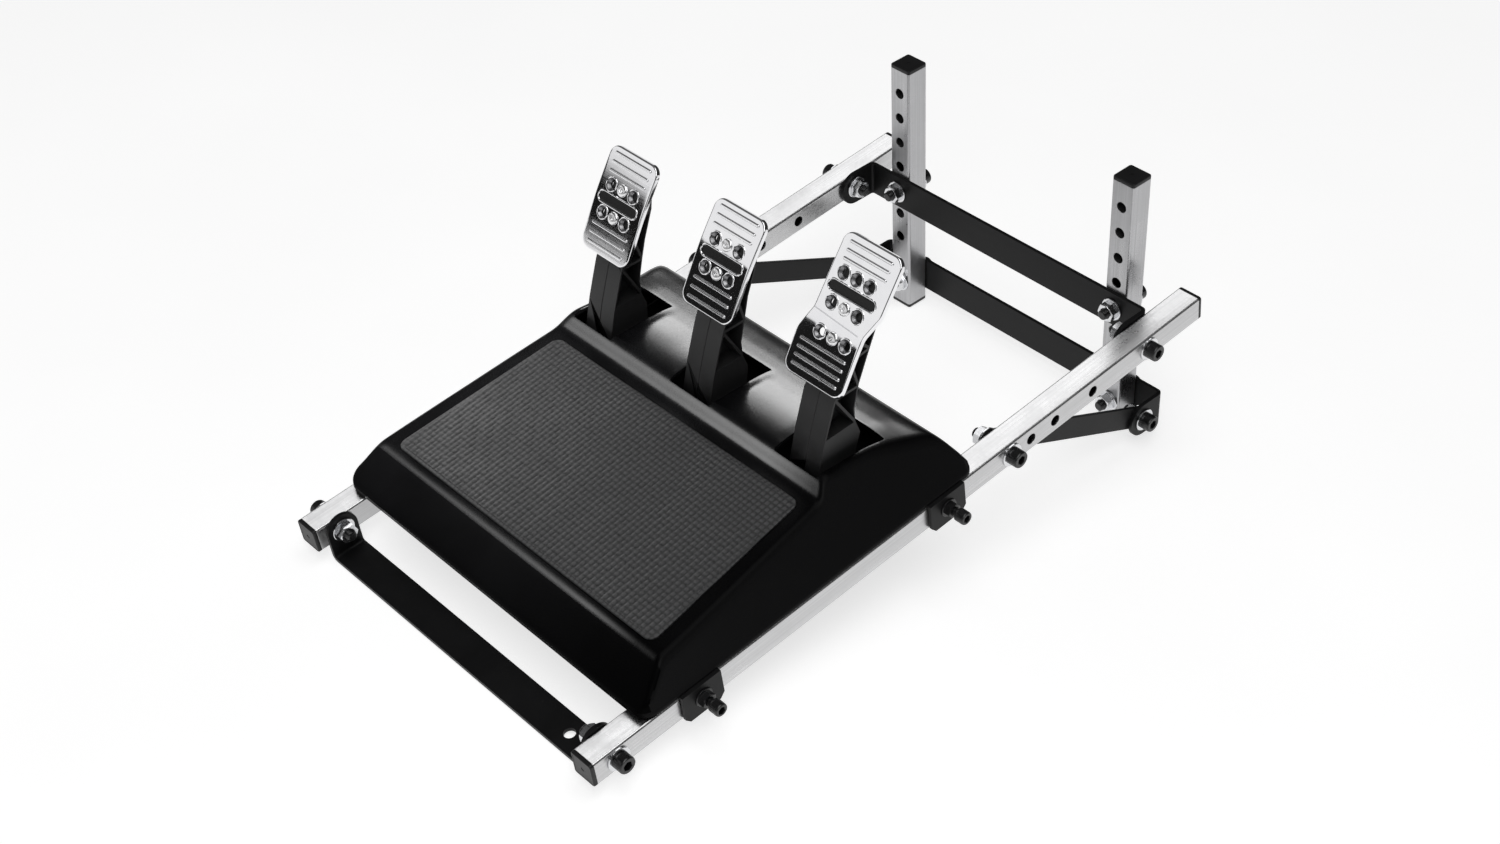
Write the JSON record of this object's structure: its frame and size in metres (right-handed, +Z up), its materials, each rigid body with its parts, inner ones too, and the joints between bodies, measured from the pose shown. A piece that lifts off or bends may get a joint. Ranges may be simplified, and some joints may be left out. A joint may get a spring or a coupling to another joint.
{
  "type": "pedal stand",
  "caption": "Square-tube floor stand with two rear posts, bent flat-bar crossbars and braces, carrying a clamped pedal box with textured footrest and hinged foot pedals.",
  "frame": {"origin": "centre of the stand's footprint on the floor", "axes": "+X to the gas pedal's side, +Y away from the driver along the rails, +Z up"},
  "size_m": [0.368, 0.5869, 0.272],
  "materials": {
    "tube_steel": "satin",
    "cap_plastic": "matte",
    "black_steel": "satin",
    "black_bolt": "satin",
    "zinc": "bright zinc",
    "box_plastic": "satin",
    "inner_plastic": "matte",
    "pin_steel": "satin",
    "mat_rubber": "textured",
    "arm_plastic": "satin",
    "plate_aluminium": "polished",
    "screw_steel": "bright"
  },
  "bodies": {
    "stand": {"left_rail": "tube_steel", "right_rail": "tube_steel", "left_rail_caps": "cap_plastic", "right_rail_caps": "cap_plastic", "left_post": "tube_steel", "right_post": "tube_steel", "left_post_caps": "cap_plastic", "right_post_caps": "cap_plastic", "front_crossbar": "black_steel", "upper_crossbar": "black_steel", "lower_crossbar": "black_steel", "left_brace": "black_steel", "right_brace": "black_steel", "rail_bolts": "black_bolt", "rail_washers": "zinc", "rail_nuts": "zinc", "post_bolts": "black_bolt", "post_washers": "zinc", "post_nuts": "zinc", "brace_bolts": "black_bolt", "brace_washers": "zinc", "brace_nuts": "zinc", "clamp_brackets": "black_steel", "clamp_screws": "black_bolt", "clamp_nuts": "black_bolt", "box_shell": "box_plastic", "box_floor": "box_plastic", "pivot_stands": "inner_plastic", "pivot_pins": "pin_steel", "footrest_mat": "mat_rubber"},
    "clutch_pedal": {"clutch_arm": "arm_plastic", "clutch_plate": "plate_aluminium", "clutch_screws": "screw_steel"},
    "brake_pedal": {"brake_arm": "arm_plastic", "brake_plate": "plate_aluminium", "brake_screws": "screw_steel"},
    "gas_pedal": {"gas_arm": "arm_plastic", "gas_plate": "plate_aluminium", "gas_screws": "screw_steel"}
  },
  "joints": [
    {"name": "clutch_press", "type": "hinge", "parent": "stand", "child": "clutch_pedal", "pos_m": [-0.106, -0.04176, 0.09505], "axis": [-1, 0, 0], "range_deg": [0, 18], "stiffness_Nm_per_rad": 2.4, "springref_deg": -14.32},
    {"name": "brake_press", "type": "hinge", "parent": "stand", "child": "brake_pedal", "pos_m": [0, -0.04176, 0.09505], "axis": [-1, 0, 0], "range_deg": [0, 14], "stiffness_Nm_per_rad": 6, "springref_deg": -14.32},
    {"name": "gas_press", "type": "hinge", "parent": "stand", "child": "gas_pedal", "pos_m": [0.107, -0.04176, 0.09505], "axis": [-1, 0, 0], "range_deg": [0, 16], "stiffness_Nm_per_rad": 2, "springref_deg": -14.32}
  ]
}
